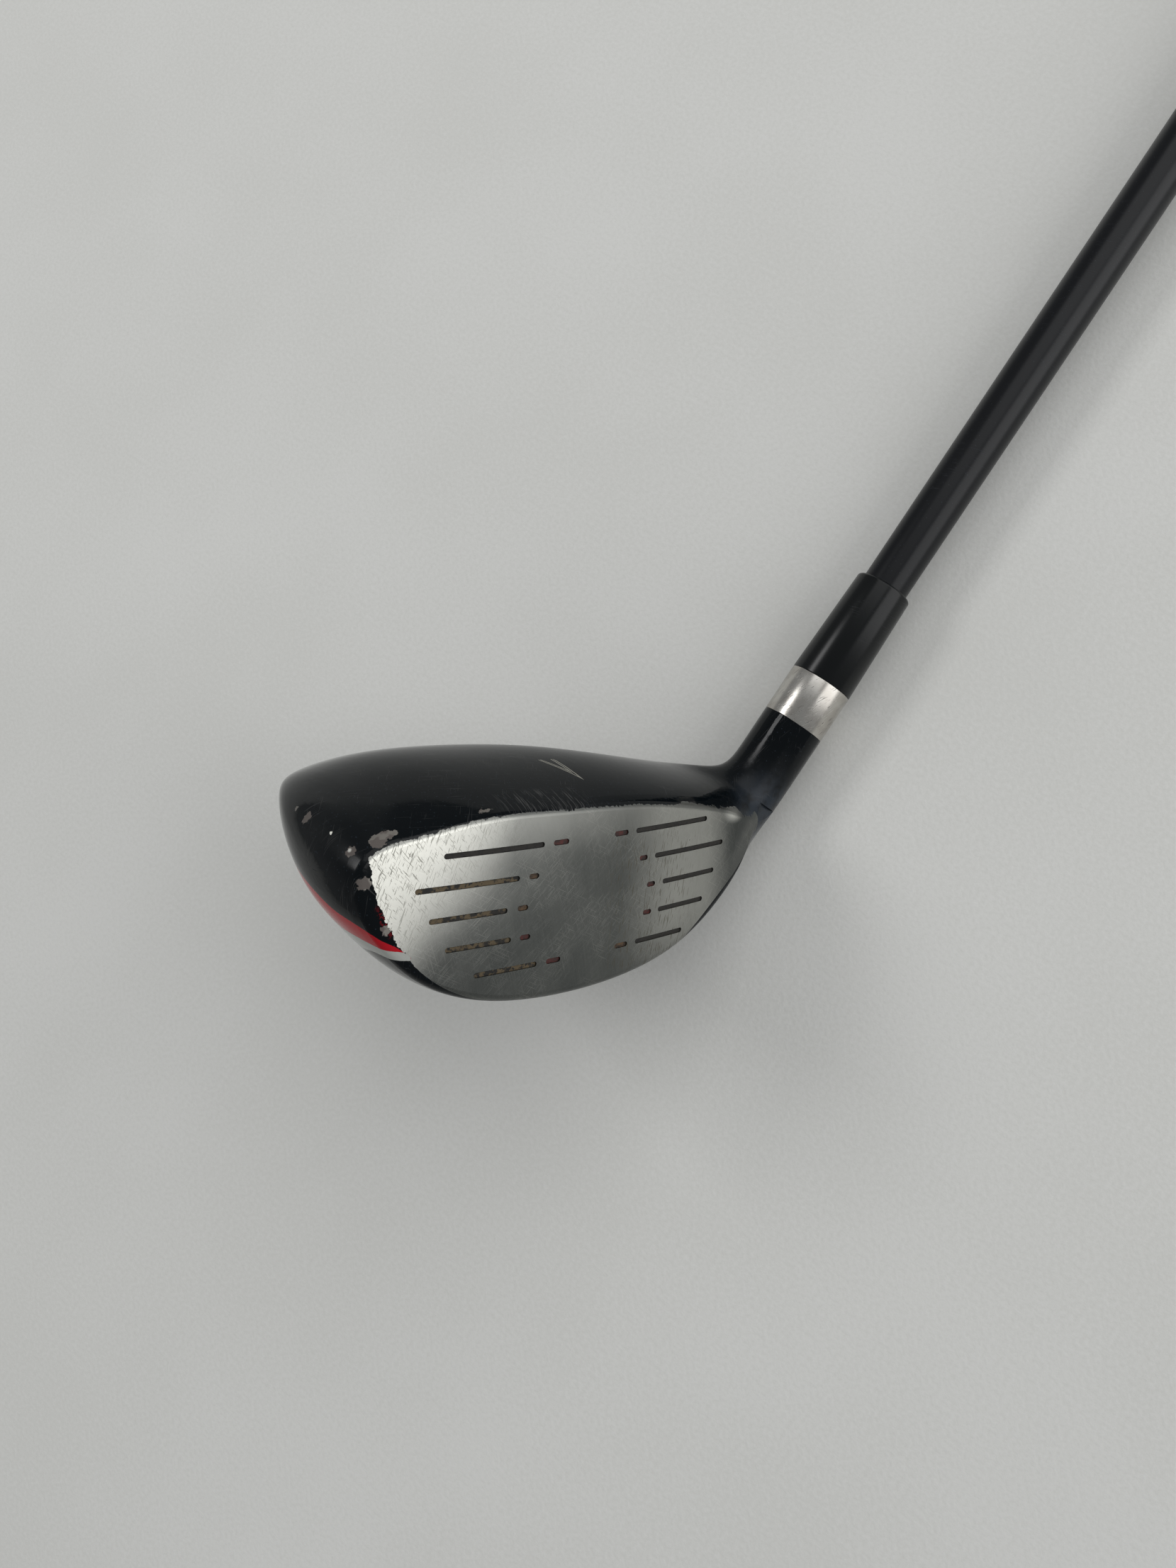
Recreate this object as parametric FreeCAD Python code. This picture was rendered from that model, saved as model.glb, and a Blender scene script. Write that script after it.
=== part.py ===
"""Fairway wood, right-handed: hollow steel head, bonded graphite shaft and rubber grip.

Everything is modelled in the address frame, in millimetres: the origin is where the shaft axis meets
the ground, X runs from toe to heel, Y to the rear of the head and Z up. Distances called "along" are
measured on the shaft axis from that origin. At the end every piece is turned to the way the club lies
on a flat surface, with the shaft along +X, and the origin is moved to the middle of its footprint.
"""
import FreeCAD, Part
import math
import os

from FreeCAD import Vector

# club
LIE = 62.0                # shaft axis above the ground, degrees
LOFT = 16.0               # face normal above the horizontal, degrees
CLUB_LENGTH = 1092.0      # 43 in, along the shaft from the ground to the end of the grip cap

# the way the club lies: turned about its shaft, then tipped until head and grip both touch
REST_ROLL = -24.0
REST_TIP = -0.3

# hosel, trim ring and ferrule
HOSEL_OD = 12.7           # 0.500 in
HOSEL_NECK_OD = 11.1      # under the trim ring
HOSEL_BORE = 9.2
HOSEL_SHOULDER = 45.8     # along: end of the painted hosel
RING_LENGTH = 9.9
FERRULE_LENGTH = 22.2     # 7/8 in
FERRULE_TOP_OD = 11.5
FERRULE_EDGE = 0.6        # rounding of its top edge
BORE_BOTTOM = 22.0        # along: where the shaft tip stops
PLUG_LENGTH = 2.5
SLEEVE_OD = 12.2          # hosel tube inside the head
TIP_WEIGHT_LENGTH = 25.7

# shaft
TIP_OD = 8.9              # 0.350 in, bare, inside the hosel
TIP_PAINTED_OD = 9.2
TIP_PARALLEL = 150.0      # length of the parallel tip section above the ferrule
BUTT_OD = 15.2            # 0.600 in
TIP_ID = 4.6
BUTT_ID = 12.8

# grip
GRIP_LENGTH = 267.0       # 10.5 in
GRIP_MOUTH_OD = 17.6
GRIP_BUTT_OD = 26.4
TAPE_THICKNESS = 0.25
CAP_THICKNESS = 5.0
CAP_EDGE = 1.6
VENT_DIAMETER = 3.2

# head skin
FILLET = 7.0              # hollow curve between hosel and crown
PIVOT_ALONG = 34.0        # along: centre of that curve
CROWN_WALL = 0.9
SOLE_WALL = 3.0
POLES = 16                # control points round one section
CORNER = 2.25             # section squareness towards the face, 2 is an ellipse
REAR_CORNER = 1.75        # section squareness towards the rear
HOSEL_STATIONS = (0.0, 3.5, 8.0)   # below the shoulder

# Sections that swing round the pivot from the hosel to the heel:
# angle, front, rear, outer distance, share of the section above its widest line, crest
BEND = (
    (0.0, -6.35, 6.35, 19.7, 0.50, 0.0),
    (21.0, -6.60, 7.60, 20.8, 0.50, 0.3),
    (42.0, -7.60, 16.0, 23.6, 0.46, 1.0),
)
# Upright sections from heel to toe: X, front, rear, top, bottom, height of the widest line, crest
BODY = (
    (4.1, -11.6, 27.0, 29.0, 10.5, 18.0, 0.0),
    (-9.0, -18.4, 38.0, 31.2, 1.6, 14.0, -2.0),
    (-24.0, -22.5, 45.0, 33.4, -0.8, 12.5, -3.0),
    (-40.0, -24.5, 47.0, 33.6, -0.9, 13.0, -3.5),
    (-55.0, -24.0, 44.0, 33.8, 0.6, 15.0, -3.5),
    (-67.0, -19.5, 37.0, 31.1, 5.3, 18.3, -2.8),
    (-75.3, -13.0, 22.8, 30.3, 13.6, 25.0, 2.0),
)
TOE = Vector(-78.0, 3.0, 21.4)
TOE_FLATNESS = 0.50       # size of the last ring of control points, as a share of the last section

# face
FACE_CENTRE = Vector(-34.5, -13.7, 18.5)
FACE_RADIUS = 272.0       # bulge and roll
FACE_THICKNESS = 2.4
FACE_EDGE = 1.5           # rounding round the face
FACE_LIMIT = 29.3         # along: the face stops short of the hosel
HEEL_FACET_TURN = 14.0    # the relief at the heel end, turned back from the face, degrees
HEEL_FACET_START = 36.5   # distance of its edge from the face centre

# score lines: rows from the top down, each mirrored about the face centre:
# short dash start, short dash end, long line start, long line end
SCORE_PITCH = 5.0
SCORE_WIDTH = 0.9
SCORE_DEPTH = 0.5
FILL_THICKNESS = 0.2
SCORE_ROWS = (
    (4.9, 8.0, 9.8, 28.0),
    (10.8, 12.7, 14.5, 32.8),
    (12.8, 14.8, 16.7, 30.5),
    (12.2, 14.2, 15.9, 27.7),
    (5.9, 8.8, 10.7, 22.5),
)
RED_DASHES = ((0, -1), (0, 1), (1, 1), (2, 1), (3, -1), (3, 1), (4, -1))   # row, side

# crown joint: a plane across the skirt, clear of the hosel
CROWN_JOINT_HEIGHT = 14.0
CROWN_JOINT_SLOPE = -0.07  # rise for each mm towards the heel
CROWN_HOSEL_CLEARANCE = 11.0

# inside the head
REAR_WEIGHT_PLACE = (-33.0, 24.0)
REAR_WEIGHT_RADIUS = 13.0
REAR_WEIGHT_TOP = 9.5
GLUE_PLACE = (-56.0, 4.0)
GLUE_RADIUS = 9.0
GLUE_TOP = 4.6

FAR = 400.0               # larger than the head
SLOT_CUTTER = 10.0        # reach of a score line's cutter on each side of the face
SAME = 0.01               # two lengths closer than this are the same
SHAFT_DIR = Vector(math.cos(math.radians(LIE)), 0, math.sin(math.radians(LIE)))
FACE_NORMAL = Vector(0, -math.cos(math.radians(LOFT)), math.sin(math.radians(LOFT)))
FACE_UP = Vector(0, math.sin(math.radians(LOFT)), math.cos(math.radians(LOFT)))
BALL_CENTRE = FACE_CENTRE - FACE_NORMAL * FACE_RADIUS
RING_TOP = HOSEL_SHOULDER + RING_LENGTH
FERRULE_TOP = RING_TOP + FERRULE_LENGTH
SHAFT_END = CLUB_LENGTH - CAP_THICKNESS
GRIP_START = CLUB_LENGTH - GRIP_LENGTH


def turned(profile):
    """Solid of revolution about the shaft axis; the profile holds (along, radius) corners."""
    across = Vector(SHAFT_DIR.z, 0, -SHAFT_DIR.x)
    corners = [SHAFT_DIR * along + across * radius for along, radius in profile]
    wire = Part.makePolygon(corners + corners[:1])
    return Part.Face(wire).revolve(Vector(0, 0, 0), SHAFT_DIR, 360)


def rounded(blank, radius, at_radius, along):
    """The solid with its edge at this distance along, and of this radius, rounded."""
    edges = [e for e in blank.Edges if isinstance(e.Curve, Part.Circle)
             and abs(e.Curve.Radius - at_radius) < SAME
             and (e.Curve.Center - SHAFT_DIR * along).Length < SAME]
    return blank.makeFillet(radius, edges)


def rod(start, end, diameter):
    return Part.makeCylinder(diameter / 2, end - start, SHAFT_DIR * start, SHAFT_DIR)


def half_space(point, normal):
    """Everything near the head on the side of a plane that its normal points to."""
    box = Part.makeBox(2 * FAR, 2 * FAR, FAR, Vector(-FAR, -FAR, 0))
    box.Placement = FreeCAD.Placement(point, FreeCAD.Rotation(Vector(0, 0, 1), normal))
    return box


def ball(depth=0.0):
    """The ball whose surface is the face, or lies a depth behind it."""
    return Part.makeSphere(FACE_RADIUS - depth, BALL_CENTRE)


# ---------------------------------------------------------------- head skin

def quadrant(angle, power):
    """Point of a unit superellipse."""
    c, s = math.cos(angle), math.sin(angle)
    return (math.copysign(abs(c) ** (2 / power), c), math.copysign(abs(s) ** (2 / power), s))


def section(crest, front, rear, inner, outer, widest, front_power, rear_power):
    """Control points of one closed section as (y, distance from the pivot)."""
    # a closed cubic lies inside its control points by this much
    grow = 6 / (4 + 2 * math.cos(2 * math.pi / POLES))
    points = []
    for k in range(POLES):
        angle = 2 * math.pi * k / POLES
        c, s = quadrant(angle, rear_power if math.cos(angle) > 0 else front_power)
        half_y = rear - crest if c > 0 else crest - front
        half_q = widest - inner if s > 0 else outer - widest
        points.append((crest + grow * c * half_y, widest - grow * s * half_q))
    return points


def head_net(inset, sole_inset):
    """Rows of control points of the head's skin, from the top of the hosel to the toe."""
    reach = HOSEL_OD / 2 + FILLET
    outward = Vector(SHAFT_DIR.z, 0, -SHAFT_DIR.x)
    pivot = SHAFT_DIR * PIVOT_ALONG - outward * reach
    rows = []
    radius = HOSEL_OD / 2 - inset
    for below in HOSEL_STATIONS:
        centre = pivot + SHAFT_DIR * (HOSEL_SHOULDER - below - PIVOT_ALONG)
        ring = section(0, -radius, radius, reach - radius, reach + radius, reach, 2, 2)
        rows.append([centre + outward * q + Vector(0, y, 0) for y, q in ring])
    for angle, front, rear, outer, share, crest in BEND:
        spoke = outward * math.cos(math.radians(angle)) - SHAFT_DIR * math.sin(math.radians(angle))
        inner = FILLET + inset
        widest = inner + share * (outer - inset - inner)
        ring = section(crest, front + inset, rear - inset, inner, outer - inset, widest, 2, 2)
        rows.append([pivot + spoke * q + Vector(0, y, 0) for y, q in ring])
    for x, front, rear, top, bottom, widest, crest in BODY:
        ring = section(crest, front + inset, rear - inset, pivot.z - top + inset,
                       pivot.z - bottom - sole_inset, pivot.z - widest, CORNER, REAR_CORNER)
        rows.append([Vector(x, y, pivot.z - q) for y, q in ring])
    toe = TOE + Vector(inset, 0, 0)
    last = rows[-1]
    rows.append([Vector(toe.x, toe.y + TOE_FLATNESS * (p.y - toe.y), toe.z + TOE_FLATNESS * (p.z - toe.z))
                 for p in last])
    rows.append([toe] * POLES)
    return rows


def head_skin(inset=0.0, sole_inset=0.0):
    """Closed solid inside the head's skin, moved inwards by the insets."""
    rows = head_net(inset, sole_inset)
    degree = 3
    inner_knots = len(rows) - degree - 1
    knots = [i / (inner_knots + 1) for i in range(inner_knots + 2)]
    ends = [degree + 1] + [1] * inner_knots + [degree + 1]
    surface = Part.BSplineSurface()
    surface.buildFromPolesMultsKnots(rows, ends, [1] * (POLES + 1), knots,
                                     [k / POLES for k in range(POLES + 1)], False, True,
                                     degree, degree)
    skin = surface.toShape()
    rims = [e for e in skin.Edges if e.isClosed() and not e.Degenerated]
    end = Part.Face(Part.Wire(rims)).reversed()
    solid = Part.Solid(Part.Shell([skin, end]))
    if solid.Volume < 0:
        solid.reverse()
    return solid


# ---------------------------------------------------------------- head pieces

def largest(shape):
    return max(shape.Solids, key=lambda solid: solid.Volume)


def below_hosel():
    return half_space(SHAFT_DIR * FACE_LIMIT, -SHAFT_DIR)


def heel_facet():
    """What the relief at the heel end of the face takes away."""
    turn = math.radians(HEEL_FACET_TURN)
    sag = FACE_RADIUS - math.sqrt(FACE_RADIUS ** 2 - HEEL_FACET_START ** 2)
    edge = FACE_CENTRE + Vector(HEEL_FACET_START, 0, 0) - FACE_NORMAL * sag
    return half_space(edge, FACE_NORMAL * math.cos(turn) + Vector(math.sin(turn), 0, 0))


def in_front(depth):
    """Everything in front of the surface that lies a depth behind the face, short of the hosel."""
    inside_ball = BALL_CENTRE + FACE_NORMAL * FACE_RADIUS / 2
    front = half_space(inside_ball, FACE_NORMAL)
    return front.cut(ball(depth)).common(below_hosel())


def head_outside():
    """The outside of the head as one solid, with its face cut and the edge of the face rounded."""
    head = largest(head_skin().cut(in_front(0).fuse(heel_facet().common(below_hosel()))))
    outline = max((e for e in head.Edges if e.Length < FAR and not e.isClosed()
                   and borders_face(head, e)), key=lambda e: e.Length)
    return largest(head.makeFillet(FACE_EDGE, [outline]))


def borders_face(head, edge):
    owners = [f for f in head.Faces if any(edge.isSame(e) for e in f.Edges)]
    return any(isinstance(f.Surface, Part.Sphere) for f in owners)


def cavity():
    """The hollow of the head, behind the face plate and round the hosel tube."""
    sleeve = rod(BORE_BOTTOM - PLUG_LENGTH, CLUB_LENGTH / 2, SLEEVE_OD)
    hollow = head_skin(CROWN_WALL, SOLE_WALL).cut(in_front(FACE_THICKNESS)).cut(sleeve)
    return largest(hollow)


def score_slot(row, start, end):
    """Upright prism with round ends over one score line, from start to end across the face."""
    height = (len(SCORE_ROWS) // 2 - row) * SCORE_PITCH
    half = SCORE_WIDTH / 2
    low, high = sorted((start, end))
    base = FACE_CENTRE + FACE_UP * height - FACE_NORMAL * SLOT_CUTTER

    def at(x, y):
        return base + Vector(x, 0, 0) + FACE_UP * y

    left_end = Part.Arc(at(low + half, -half), at(low, 0), at(low + half, half)).toShape()
    top = Part.makeLine(at(low + half, half), at(high - half, half))
    right_end = Part.Arc(at(high - half, half), at(high, 0), at(high - half, -half)).toShape()
    bottom = Part.makeLine(at(high - half, -half), at(low + half, -half))
    return Part.Face(Part.Wire([left_end, top, right_end, bottom])).extrude(FACE_NORMAL * 2 * SLOT_CUTTER)


def score_slots():
    """Slots over the short dashes, with their row and side, and over the long lines."""
    dashes, lines = [], []
    for row, (dash_start, dash_end, line_start, line_end) in enumerate(SCORE_ROWS):
        for side in (-1, 1):
            dashes.append((row, side, score_slot(row, side * dash_start, side * dash_end)))
            lines.append(score_slot(row, side * line_start, side * line_end))
    return dashes, lines


def head_pieces():
    hollow = cavity()
    neck = rod(HOSEL_SHOULDER, RING_TOP, HOSEL_NECK_OD)
    bore = rod(BORE_BOTTOM - PLUG_LENGTH, RING_TOP, HOSEL_BORE)
    body = head_outside().cut(hollow).fuse(neck).cut(bore)
    front = in_front(FACE_THICKNESS)
    rest = largest(body.cut(front))
    joint = Vector(0, 0, CROWN_JOINT_HEIGHT)
    above = half_space(joint, Vector(-CROWN_JOINT_SLOPE, 0, 1))
    above = above.cut(rod(-FAR, FAR, 2 * CROWN_HOSEL_CLEARANCE)).common(below_hosel())

    dashes, lines = score_slots()
    slots = Part.makeCompound([slot for _, _, slot in dashes] + lines)
    face = largest(body.common(front)).cut(slots.cut(ball(SCORE_DEPTH)))
    fill_layer = ball(SCORE_DEPTH - FILL_THICKNESS).cut(ball(SCORE_DEPTH))
    red = [slot for row, side, slot in dashes if (row, side) in RED_DASHES]
    tan = [slot for row, side, slot in dashes if (row, side) not in RED_DASHES]

    def lump(place, radius, top):
        post = Part.makeCylinder(radius, top + FAR, Vector(*place, -FAR))
        return largest(hollow.common(post))

    return {
        "face_plate": largest(face),
        "crown_shell": largest(rest.common(above)),
        "head_body": largest(rest.cut(above)),
        "score_fill_dark": Part.makeCompound([fill_layer.common(slot) for slot in lines]),
        "score_fill_red": Part.makeCompound([fill_layer.common(slot) for slot in red]),
        "score_fill_tan": Part.makeCompound([fill_layer.common(slot) for slot in tan]),
        "rear_weight": lump(REAR_WEIGHT_PLACE, REAR_WEIGHT_RADIUS, REAR_WEIGHT_TOP),
        "rattle_glue_pad": lump(GLUE_PLACE, GLUE_RADIUS, GLUE_TOP),
    }


# ---------------------------------------------------------------- shaft, trim and grip

def shaft_diameter(along):
    """Outer diameter of the painted shaft: parallel tip, then an even taper to the butt."""
    taper_start = FERRULE_TOP + TIP_PARALLEL
    share = max(0.0, (along - taper_start) / (SHAFT_END - taper_start))
    return TIP_PAINTED_OD + share * (BUTT_OD - TIP_PAINTED_OD)


def shaft():
    taper_start = FERRULE_TOP + TIP_PARALLEL
    return turned((
        (BORE_BOTTOM, TIP_ID / 2), (BORE_BOTTOM, TIP_OD / 2), (RING_TOP, TIP_OD / 2),
        (RING_TOP, TIP_PAINTED_OD / 2), (taper_start, TIP_PAINTED_OD / 2), (SHAFT_END, BUTT_OD / 2),
        (SHAFT_END, BUTT_ID / 2), (taper_start, TIP_ID / 2),
    ))


def ferrule():
    """Collar over the joint: a straight taper with a rounded top edge."""
    blank = turned((
        (RING_TOP, TIP_PAINTED_OD / 2), (RING_TOP, HOSEL_OD / 2),
        (FERRULE_TOP, FERRULE_TOP_OD / 2), (FERRULE_TOP, TIP_PAINTED_OD / 2),
    ))
    return rounded(blank, FERRULE_EDGE, FERRULE_TOP_OD / 2, FERRULE_TOP)


def grip_tape():
    layer = TAPE_THICKNESS
    return turned((
        (GRIP_START, shaft_diameter(GRIP_START) / 2),
        (GRIP_START, shaft_diameter(GRIP_START) / 2 + layer),
        (SHAFT_END, BUTT_OD / 2 + layer), (SHAFT_END, BUTT_OD / 2),
    ))


def grip():
    layer = TAPE_THICKNESS
    blank = turned((
        (GRIP_START, shaft_diameter(GRIP_START) / 2 + layer), (GRIP_START, GRIP_MOUTH_OD / 2),
        (SHAFT_END, GRIP_BUTT_OD / 2), (SHAFT_END, BUTT_OD / 2 + layer),
    ))
    mouth = GRIP_MOUTH_OD / 2 - shaft_diameter(GRIP_START) / 2 - 2 * layer
    return rounded(blank, mouth, GRIP_MOUTH_OD / 2, GRIP_START)


def grip_cap():
    """Cap on the butt of the grip, with the vent hole through it."""
    blank = turned((
        (SHAFT_END, VENT_DIAMETER / 2), (SHAFT_END, GRIP_BUTT_OD / 2),
        (CLUB_LENGTH, GRIP_BUTT_OD / 2), (CLUB_LENGTH, VENT_DIAMETER / 2),
    ))
    return rounded(blank, CAP_EDGE, GRIP_BUTT_OD / 2, CLUB_LENGTH)


def shaft_pieces():
    ring = rod(HOSEL_SHOULDER, RING_TOP, HOSEL_OD).cut(rod(HOSEL_SHOULDER, RING_TOP, HOSEL_NECK_OD))
    glue = rod(BORE_BOTTOM, RING_TOP, HOSEL_BORE).cut(rod(BORE_BOTTOM, RING_TOP, TIP_OD))
    return {
        "hosel_ring": ring,
        "ferrule": ferrule(),
        "shaft": shaft(),
        "shaft_epoxy": glue,
        "tip_weight": rod(BORE_BOTTOM, BORE_BOTTOM + TIP_WEIGHT_LENGTH, TIP_ID),
        "bore_plug": rod(BORE_BOTTOM - PLUG_LENGTH, BORE_BOTTOM, HOSEL_BORE),
        "grip_tape": grip_tape(),
        "grip": grip(),
        "grip_cap": grip_cap(),
    }


# ---------------------------------------------------------------- lying on a flat surface

def at_rest(pieces):
    """Turn the pieces to the way the club lies and set the origin under the middle of its box."""
    level = FreeCAD.Rotation(Vector(0, 1, 0), LIE)
    roll = FreeCAD.Rotation(Vector(1, 0, 0), REST_ROLL)
    tip = FreeCAD.Rotation(Vector(0, 1, 0), REST_TIP)
    turn = FreeCAD.Placement(Vector(0, 0, 0), tip.multiply(roll).multiply(level))
    placed = {name: moved(shape, turn) for name, shape in pieces.items()}
    box = FreeCAD.BoundBox()
    for shape in placed.values():
        box.add(shape.optimalBoundingBox(False, False))
    shift = FreeCAD.Placement(Vector(-box.Center.x, -box.Center.y, -box.ZMin), FreeCAD.Rotation())
    return {name: moved(shape, shift) for name, shape in placed.items()}


def moved(shape, placement):
    copy = shape.copy()
    copy.Placement = placement.multiply(copy.Placement)
    return copy


if __name__ == "__main__":
    os.makedirs("parts", exist_ok=True)
    club = {**head_pieces(), **shaft_pieces()}
    for name, shape in at_rest(club).items():
        shape.exportStep(f"parts/{name}.step")
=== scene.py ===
"""Looks of the fairway wood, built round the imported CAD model.

The head's shading works in the club's address frame, in millimetres: the origin is where the shaft axis
meets the ground, X runs from toe to heel, Y to the rear and Z up. "Along" is a distance on the shaft axis.
The row frame is the CAD model's own, in metres, with the club lying at rest.
"""
import math

import bmesh
import bpy
from mathutils import Matrix, Vector


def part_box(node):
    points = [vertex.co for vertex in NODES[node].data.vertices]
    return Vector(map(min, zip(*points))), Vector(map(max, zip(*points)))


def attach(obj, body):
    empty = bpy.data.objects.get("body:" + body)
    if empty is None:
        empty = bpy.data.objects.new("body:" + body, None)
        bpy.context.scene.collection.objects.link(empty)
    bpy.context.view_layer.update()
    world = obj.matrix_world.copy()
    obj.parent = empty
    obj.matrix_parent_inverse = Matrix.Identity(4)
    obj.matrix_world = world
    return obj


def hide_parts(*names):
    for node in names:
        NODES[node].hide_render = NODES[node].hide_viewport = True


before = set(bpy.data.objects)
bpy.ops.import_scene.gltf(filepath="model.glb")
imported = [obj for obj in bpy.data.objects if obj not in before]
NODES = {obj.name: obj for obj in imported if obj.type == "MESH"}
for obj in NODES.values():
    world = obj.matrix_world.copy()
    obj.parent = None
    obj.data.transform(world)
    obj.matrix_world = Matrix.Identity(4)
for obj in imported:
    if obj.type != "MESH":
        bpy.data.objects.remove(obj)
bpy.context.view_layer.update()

MM = 0.001

# the club, as in the CAD source
LIE = math.radians(62.0)
LOFT = math.radians(16.0)
REST_ROLL = math.radians(-24.0)
REST_TIP = math.radians(-0.3)
CLUB_LENGTH = 1092.0
HOSEL_OD = 12.7
HOSEL_NECK_OD = 11.1
HOSEL_SHOULDER = 45.8
RING_LENGTH = 9.9
FERRULE_LENGTH = 22.2
FERRULE_TOP_OD = 11.5
TIP_PAINTED_OD = 9.2
TIP_PARALLEL = 150.0
BUTT_OD = 15.2
GRIP_LENGTH = 267.0
GRIP_MOUTH_OD = 17.6
GRIP_BUTT_OD = 26.4
TAPE_THICKNESS = 0.25
CAP_THICKNESS = 5.0
CAP_EDGE = 1.6
VENT_DIAMETER = 3.2
FACE_LIMIT = 29.3
FACE_CENTRE = Vector((-34.5, -13.7, 18.5))
FACE_RADIUS = 272.0
HEEL_FACET_TURN = math.radians(14.0)
HEEL_FACET_START = 36.5

RING_TOP = HOSEL_SHOULDER + RING_LENGTH
FERRULE_TOP = RING_TOP + FERRULE_LENGTH
SHAFT_END = CLUB_LENGTH - CAP_THICKNESS
GRIP_START = CLUB_LENGTH - GRIP_LENGTH

# frames
LEVEL = Matrix.Rotation(REST_TIP, 3, "Y") @ Matrix.Rotation(REST_ROLL, 3, "X")   # shaft along X
TURN = LEVEL @ Matrix.Rotation(LIE, 3, "Y")                                      # address to row
SHAFT_DIR = Vector((math.cos(LIE), 0, math.sin(LIE)))
RING_MIDDLE = (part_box("hosel_ring")[0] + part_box("hosel_ring")[1]) / 2
ORIGIN = RING_MIDDLE - TURN @ SHAFT_DIR * (HOSEL_SHOULDER + RING_LENGTH / 2) * MM

FACE_NORMAL = Vector((0, -math.cos(LOFT), math.sin(LOFT)))
FACE_UP = Vector((0, math.sin(LOFT), math.cos(LOFT)))
FACE_AXES = TURN @ Matrix((Vector((1, 0, 0)), FACE_UP, FACE_NORMAL)).transposed()
BALL_CENTRE = FACE_CENTRE - FACE_NORMAL * FACE_RADIUS
FACET_SAG = FACE_RADIUS - math.sqrt(FACE_RADIUS ** 2 - HEEL_FACET_START ** 2)
FACET_EDGE = FACE_CENTRE + Vector((HEEL_FACET_START, 0, 0)) - FACE_NORMAL * FACET_SAG
FACET_NORMAL = FACE_NORMAL * math.cos(HEEL_FACET_TURN) + Vector((math.sin(HEEL_FACET_TURN), 0, 0))


def row_point(address):
    """A point of the address frame, in millimetres, as a point of the row frame in metres."""
    return ORIGIN + TURN @ (Vector(address) * MM)


# ---------------------------------------------------------------- node graphs

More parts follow.
